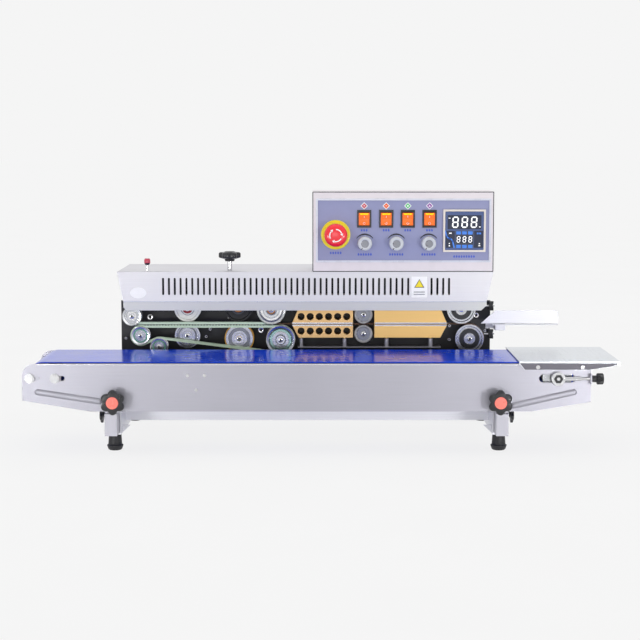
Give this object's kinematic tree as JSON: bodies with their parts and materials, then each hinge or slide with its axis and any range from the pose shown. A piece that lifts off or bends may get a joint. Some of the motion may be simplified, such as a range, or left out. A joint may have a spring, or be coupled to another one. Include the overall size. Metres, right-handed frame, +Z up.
{
  "type": "continuous band sealer",
  "caption": "Bench-top continuous band sealer: a belt conveyor on slide bars in front of a sealing head with paired bands, guide belts, heating and cooling blocks and a raised control box.",
  "frame": {"origin": "on the floor under the middle of the machine's overall box", "axes": "+X along the conveyor from its driven end to the infeed tray, +Y from the operator's side to the back, +Z up"},
  "size_m": [0.956, 0.401, 0.4165],
  "materials": {
    "brushed_steel": "brushed lengthways",
    "black_plate": "fine black powder coat",
    "bar_grey": "satin anodised",
    "rubber": "moulded, matt",
    "pink_grey_paint": "smooth, semi-matt",
    "blue_grey_panel": "printed film, satin",
    "yellow_plastic": "moulded",
    "red_plastic": "moulded, glossy",
    "black_plastic": "moulded, slight sheen",
    "amber_plastic": "translucent, lit",
    "silver_plastic": "metallised",
    "cream_plastic": "moulded bezel",
    "brass": "milled",
    "plated_steel": "bright plated",
    "sealing_band": "coated glass cloth, smooth",
    "guide_belt": "smooth pale green",
    "turned_aluminium": "turned",
    "knurled_steel": "knurled",
    "white_plastic": "moulded",
    "amber_rubber": "cast tyre on a turned hub",
    "black_rubber": "moulded",
    "blue_belt": "glossy coated belting",
    "motor_paint": "cast housing, painted"
  },
  "bodies": {
    "machine_frame": {"base_pan": "brushed_steel", "rubber_feet": "rubber", "head_plate": "black_plate", "head_cover": "brushed_steel", "rear_housing": "brushed_steel", "control_box": "pink_grey_paint", "control_panel": "blue_grey_panel", "stop_collar": "yellow_plastic", "rocker_bezels": "black_plastic", "controller_case": "cream_plastic", "block_rail": "plated_steel", "feed_guide": "brushed_steel", "upper_cooling_block": "brass", "upper_heating_block": "brass", "seal_bands": "sealing_band", "guide_belts": "guide_belt", "plate_fasteners": "plated_steel", "drive_motor": "motor_paint"},
    "stop_button": {"stop_button": "red_plastic"},
    "rocker_1": {"rocker_1": "amber_plastic"},
    "rocker_2": {"rocker_2": "amber_plastic"},
    "rocker_3": {"rocker_3": "amber_plastic"},
    "rocker_4": {"rocker_4": "amber_plastic"},
    "dial_1": {"dial_1": "silver_plastic"},
    "dial_2": {"dial_2": "silver_plastic"},
    "dial_3": {"dial_3": "silver_plastic"},
    "print_slider": {"print_slider": "red_plastic"},
    "pressure_knob": {"pressure_knob": "black_plastic"},
    "pressure_carrier": {"pressure_carrier": "black_plate"},
    "lower_drive_wheel": {"lower_drive_wheel": "turned_aluminium"},
    "upper_drive_wheel": {"upper_drive_wheel": "turned_aluminium"},
    "lower_band_idler": {"lower_band_idler": "turned_aluminium"},
    "upper_band_idler": {"upper_band_idler": "turned_aluminium"},
    "upper_press_roller": {"upper_press_roller": "knurled_steel"},
    "lower_press_roller": {"lower_press_roller": "knurled_steel"},
    "upper_guide_pulley": {"upper_guide_pulley": "turned_aluminium"},
    "lower_guide_pulley": {"lower_guide_pulley": "turned_aluminium"},
    "lower_idler": {"lower_idler": "turned_aluminium"},
    "anvil_wheel": {"anvil_wheel": "turned_aluminium"},
    "print_wheel": {"print_wheel": "white_plastic"},
    "rubber_wheel": {"rubber_wheel": "amber_rubber"},
    "emboss_wheel": {"emboss_wheel": "black_rubber"},
    "lower_cooling_block": {"lower_cooling_block": "brass"},
    "lower_heating_block": {"lower_heating_block": "brass"},
    "carriage": {"slide_bars": "bar_grey"},
    "conveyor": {"conveyor_front_panel": "brushed_steel", "conveyor_rear_panel": "brushed_steel", "slider_bed": "brushed_steel", "conveyor_belt": "blue_belt", "infeed_tray": "brushed_steel", "conveyor_motor": "motor_paint", "conveyor_fasteners": "plated_steel"},
    "drive_roller": {"drive_roller": "turned_aluminium"},
    "tension_knob": {"tension_knob": "black_plastic"},
    "tail_shaft": {"tail_shaft": "plated_steel"},
    "tail_roller": {"tail_roller": "turned_aluminium"},
    "front_knob_left": {"front_knob_left": "black_plastic"},
    "front_knob_right": {"front_knob_right": "black_plastic"},
    "side_knob_left": {"side_knob_left": "black_plastic"},
    "side_knob_right": {"side_knob_right": "black_plastic"}
  },
  "joints": [
    {"name": "stop_push", "type": "slide", "parent": "machine_frame", "child": "stop_button", "axis": [0, 1, 0], "range_m": [0, 0.004]},
    {"name": "rocker_1_tilt", "type": "hinge", "parent": "machine_frame", "child": "rocker_1", "pos_m": [0.0736, 0.0175, 0.3704], "axis": [1, 0, 0], "range_deg": [-20, 0]},
    {"name": "rocker_2_tilt", "type": "hinge", "parent": "machine_frame", "child": "rocker_2", "pos_m": [0.111, 0.0175, 0.3704], "axis": [1, 0, 0], "range_deg": [-20, 0]},
    {"name": "rocker_3_tilt", "type": "hinge", "parent": "machine_frame", "child": "rocker_3", "pos_m": [0.1477, 0.0175, 0.3704], "axis": [1, 0, 0], "range_deg": [-20, 0]},
    {"name": "rocker_4_tilt", "type": "hinge", "parent": "machine_frame", "child": "rocker_4", "pos_m": [0.1847, 0.0175, 0.3704], "axis": [1, 0, 0], "range_deg": [-20, 0]},
    {"name": "dial_1_turn", "type": "hinge", "parent": "machine_frame", "child": "dial_1", "pos_m": [0.0747, 0.017, 0.3286], "axis": [0, 1, 0], "range_deg": [0, 270]},
    {"name": "dial_2_turn", "type": "hinge", "parent": "machine_frame", "child": "dial_2", "pos_m": [0.1283, 0.017, 0.3286], "axis": [0, 1, 0], "range_deg": [0, 270]},
    {"name": "dial_3_turn", "type": "hinge", "parent": "machine_frame", "child": "dial_3", "pos_m": [0.1833, 0.017, 0.3286], "axis": [0, 1, 0], "range_deg": [0, 270]},
    {"name": "print_slider_slide", "type": "slide", "parent": "machine_frame", "child": "print_slider", "axis": [1, 0, 0], "range_m": [0, 0.035]},
    {"name": "pressure_knob_turn", "type": "hinge", "parent": "machine_frame", "child": "pressure_knob", "pos_m": [-0.1569, 0.0435, 0.28], "axis": [0, 0, 1], "range_deg": [0, 720]},
    {"name": "pressure_carrier_slide", "type": "slide", "parent": "machine_frame", "child": "pressure_carrier", "axis": [0, 0, 1], "range_m": [-0.0025, 0]},
    {"name": "lower_drive_wheel_spin", "type": "hinge", "parent": "machine_frame", "child": "lower_drive_wheel", "pos_m": [-0.0692, 0.05, 0.1622], "axis": [0, 1, 0], "continuous": true},
    {"name": "upper_drive_wheel_spin", "type": "hinge", "parent": "machine_frame", "child": "upper_drive_wheel", "pos_m": [-0.08512, 0.05, 0.2138], "axis": [0, 1, 0], "continuous": true},
    {"name": "lower_band_idler_spin", "type": "hinge", "parent": "machine_frame", "child": "lower_band_idler", "pos_m": [0.2566, 0.05, 0.1626], "axis": [0, 1, 0], "continuous": true},
    {"name": "upper_band_idler_spin", "type": "hinge", "parent": "machine_frame", "child": "upper_band_idler", "pos_m": [0.2421, 0.05, 0.2134], "axis": [0, 1, 0], "continuous": true},
    {"name": "upper_press_roller_spin", "type": "hinge", "parent": "machine_frame", "child": "upper_press_roller", "pos_m": [0.0733, 0.05, 0.2047], "axis": [0, 1, 0], "continuous": true},
    {"name": "lower_press_roller_spin", "type": "hinge", "parent": "machine_frame", "child": "lower_press_roller", "pos_m": [0.0733, 0.05, 0.1713], "axis": [0, 1, 0], "continuous": true},
    {"name": "upper_guide_pulley_spin", "type": "hinge", "parent": "machine_frame", "child": "upper_guide_pulley", "pos_m": [-0.3242, 0.05, 0.2032], "axis": [0, 1, 0], "continuous": true},
    {"name": "lower_guide_pulley_spin", "type": "hinge", "parent": "machine_frame", "child": "lower_guide_pulley", "pos_m": [-0.3098, 0.05, 0.1695], "axis": [0, 1, 0], "continuous": true},
    {"name": "lower_idler_spin", "type": "hinge", "parent": "machine_frame", "child": "lower_idler", "pos_m": [-0.278, 0.05, 0.1505], "axis": [0, 1, 0], "continuous": true},
    {"name": "anvil_wheel_spin", "type": "hinge", "parent": "machine_frame", "child": "anvil_wheel", "pos_m": [-0.2303, 0.05, 0.1679], "axis": [0, 1, 0], "continuous": true},
    {"name": "print_wheel_spin", "type": "hinge", "parent": "machine_frame", "child": "print_wheel", "pos_m": [-0.2299, 0.05, 0.2151], "axis": [0, 1, 0], "continuous": true},
    {"name": "rubber_wheel_spin", "type": "hinge", "parent": "machine_frame", "child": "rubber_wheel", "pos_m": [-0.1407, 0.05, 0.1632], "axis": [0, 1, 0], "continuous": true},
    {"name": "emboss_wheel_spin", "type": "hinge", "parent": "pressure_carrier", "child": "emboss_wheel", "pos_m": [-0.1423, 0.05, 0.2172], "axis": [0, 1, 0], "continuous": true},
    {"name": "lower_cooling_block_slide", "type": "slide", "parent": "machine_frame", "child": "lower_cooling_block", "axis": [0, 0, 1], "range_m": [-0.002, 0], "stiffness_N_per_m": 3000, "springref_m": 0.004},
    {"name": "lower_heating_block_slide", "type": "slide", "parent": "machine_frame", "child": "lower_heating_block", "axis": [0, 0, 1], "range_m": [-0.002, 0], "stiffness_N_per_m": 3000, "springref_m": 0.004},
    {"name": "carriage_slide", "type": "slide", "parent": "machine_frame", "child": "carriage", "axis": [0, -1, 0], "range_m": [0, 0.04]},
    {"name": "conveyor_lift", "type": "slide", "parent": "carriage", "child": "conveyor", "axis": [0, 0, 1], "range_m": [0, 0.028]},
    {"name": "drive_roller_spin", "type": "hinge", "parent": "conveyor", "child": "drive_roller", "pos_m": [-0.4455, -0.0855, 0.1238], "axis": [0, 1, 0], "continuous": true},
    {"name": "tension_knob_turn", "type": "hinge", "parent": "conveyor", "child": "tension_knob", "pos_m": [0.44, -0.1753, 0.1238], "axis": [1, 0, 0], "range_deg": [0, 2880]},
    {"name": "tail_shaft_slide", "type": "slide", "parent": "conveyor", "child": "tail_shaft", "axis": [1, 0, 0], "range_m": [-0.01, 0]},
    {"name": "tail_roller_spin", "type": "hinge", "parent": "tail_shaft", "child": "tail_roller", "pos_m": [0.3788, -0.0855, 0.1238], "axis": [0, 1, 0], "continuous": true},
    {"name": "front_knob_left_turn", "type": "hinge", "parent": "conveyor", "child": "front_knob_left", "pos_m": [-0.3308, -0.185, 0.0882], "axis": [0, 1, 0], "range_deg": [0, 180]},
    {"name": "front_knob_right_turn", "type": "hinge", "parent": "conveyor", "child": "front_knob_right", "pos_m": [0.285, -0.185, 0.0882], "axis": [0, 1, 0], "range_deg": [0, 180]},
    {"name": "side_knob_left_turn", "type": "hinge", "parent": "machine_frame", "child": "side_knob_left", "pos_m": [-0.346, -0.1255, 0.0617], "axis": [1, 0, 0], "range_deg": [0, 180]},
    {"name": "side_knob_right_turn", "type": "hinge", "parent": "machine_frame", "child": "side_knob_right", "pos_m": [0.3002, -0.1255, 0.0617], "axis": [1, 0, 0], "range_deg": [0, 180]}
  ],
  "couplings": [
    {"joint": "pressure_carrier_slide", "follows": "pressure_knob_turn", "m_per_rad": -0.00019894},
    {"joint": "upper_drive_wheel_spin", "follows": "lower_drive_wheel_spin", "ratio": -1},
    {"joint": "lower_band_idler_spin", "follows": "lower_drive_wheel_spin", "ratio": 1.0163},
    {"joint": "upper_band_idler_spin", "follows": "lower_drive_wheel_spin", "ratio": -1.0163},
    {"joint": "upper_press_roller_spin", "follows": "lower_drive_wheel_spin", "ratio": -1.5723},
    {"joint": "lower_press_roller_spin", "follows": "lower_drive_wheel_spin", "ratio": 1.5723},
    {"joint": "upper_guide_pulley_spin", "follows": "lower_drive_wheel_spin", "ratio": -1.8548},
    {"joint": "lower_guide_pulley_spin", "follows": "lower_drive_wheel_spin", "ratio": 1.465},
    {"joint": "lower_idler_spin", "follows": "lower_drive_wheel_spin", "ratio": -1.5646},
    {"joint": "anvil_wheel_spin", "follows": "lower_drive_wheel_spin", "ratio": 1.1468},
    {"joint": "print_wheel_spin", "follows": "lower_drive_wheel_spin", "ratio": -1.0965},
    {"joint": "rubber_wheel_spin", "follows": "lower_drive_wheel_spin", "ratio": 0.97656},
    {"joint": "emboss_wheel_spin", "follows": "lower_drive_wheel_spin", "ratio": -1},
    {"joint": "tail_shaft_slide", "follows": "tension_knob_turn", "m_per_rad": -0.00019894},
    {"joint": "tail_roller_spin", "follows": "drive_roller_spin", "ratio": 1}
  ]
}
